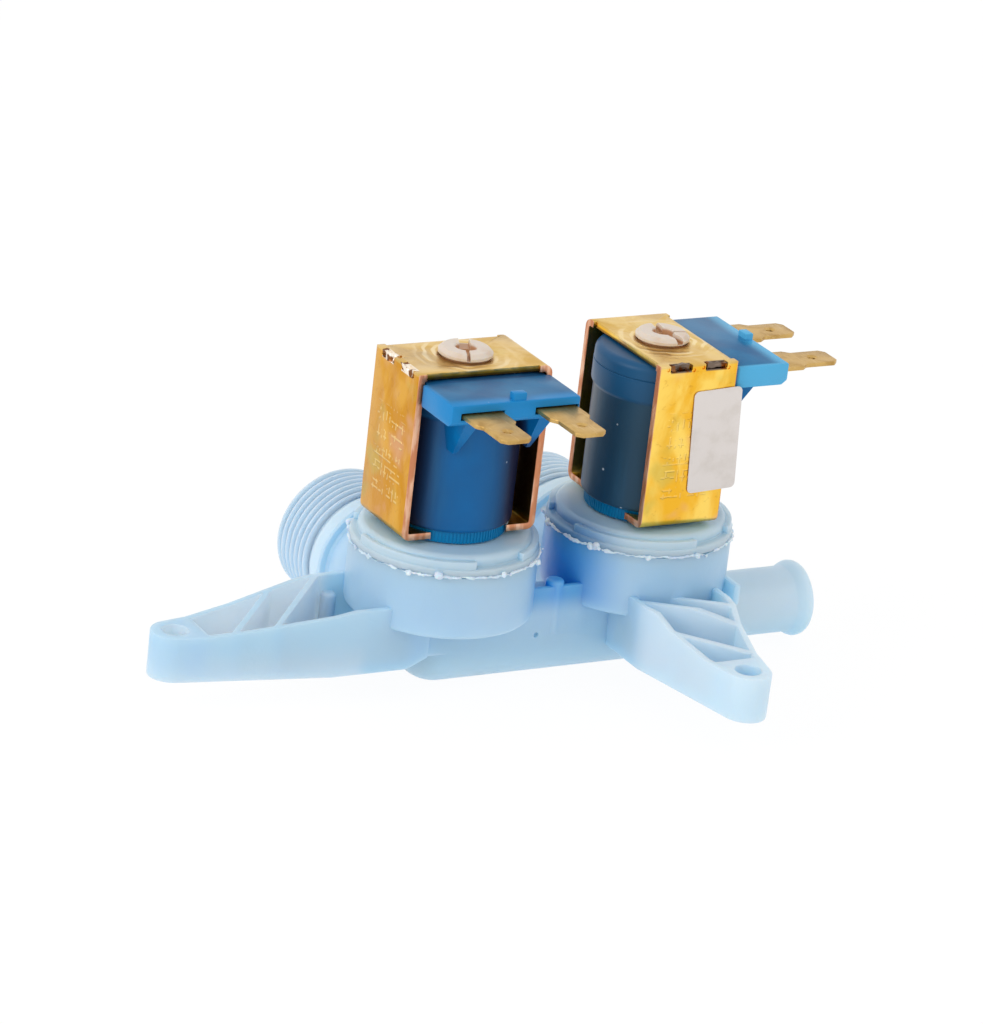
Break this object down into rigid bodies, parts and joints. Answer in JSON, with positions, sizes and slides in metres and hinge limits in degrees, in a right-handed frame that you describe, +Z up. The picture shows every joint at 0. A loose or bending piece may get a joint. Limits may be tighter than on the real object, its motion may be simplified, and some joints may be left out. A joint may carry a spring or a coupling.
{
  "type": "washing machine inlet valve",
  "caption": "Solenoid water inlet valve for a washing machine: threaded hose inlets at the back, a manifold with a hose outlet at the side, and coils in steel yokes on top.",
  "frame": {"origin": "on the plane that the valve rests on, below the middle of the valve's box", "axes": "+Z up along the coils, +X along the manifold towards the outlet, +Y along the inlets towards their open ends"},
  "size_m": [0.1394, 0.0904, 0.0662],
  "materials": {
    "pale_blue_plastic": "satin, translucent",
    "zinc_steel": "yellow zinc plated",
    "blue_cover": "satin",
    "brass": "dull",
    "nylon": "satin",
    "armature_steel": "plain",
    "black_rubber": "matt",
    "screen_plastic": "matt",
    "sticker": "matt, blank"
  },
  "bodies": {
    "valve": {"valve_body": "pale_blue_plastic", "bonnet_a": "pale_blue_plastic", "yoke_a": "zinc_steel", "coil_a": "blue_cover", "terminal_a1": "brass", "terminal_a2": "brass", "guide_tube_a": "nylon", "plunger_spring_a": "armature_steel", "diaphragm_a": "black_rubber", "diaphragm_insert_a": "nylon", "flow_washer_a": "black_rubber", "inlet_screen_a": "screen_plastic", "bonnet_b": "pale_blue_plastic", "yoke_b": "zinc_steel", "coil_b": "blue_cover", "terminal_b1": "brass", "terminal_b2": "brass", "guide_tube_b": "nylon", "plunger_spring_b": "armature_steel", "diaphragm_b": "black_rubber", "diaphragm_insert_b": "nylon", "flow_washer_b": "black_rubber", "inlet_screen_b": "screen_plastic", "label": "sticker"},
    "plunger_a": {"plunger_a": "armature_steel", "plunger_tip_a": "black_rubber"},
    "plunger_b": {"plunger_b": "armature_steel", "plunger_tip_b": "black_rubber"}
  },
  "joints": [
    {"name": "plunger_a_slide", "type": "slide", "parent": "valve", "child": "plunger_a", "axis": [0, 0, 1], "range_m": [0, 0.003], "stiffness_N_per_m": 150, "springref_m": -0.004, "deforming": ["plunger_spring_a"]},
    {"name": "plunger_b_slide", "type": "slide", "parent": "valve", "child": "plunger_b", "axis": [0, 0, 1], "range_m": [0, 0.003], "stiffness_N_per_m": 150, "springref_m": -0.004, "deforming": ["plunger_spring_b"]}
  ]
}
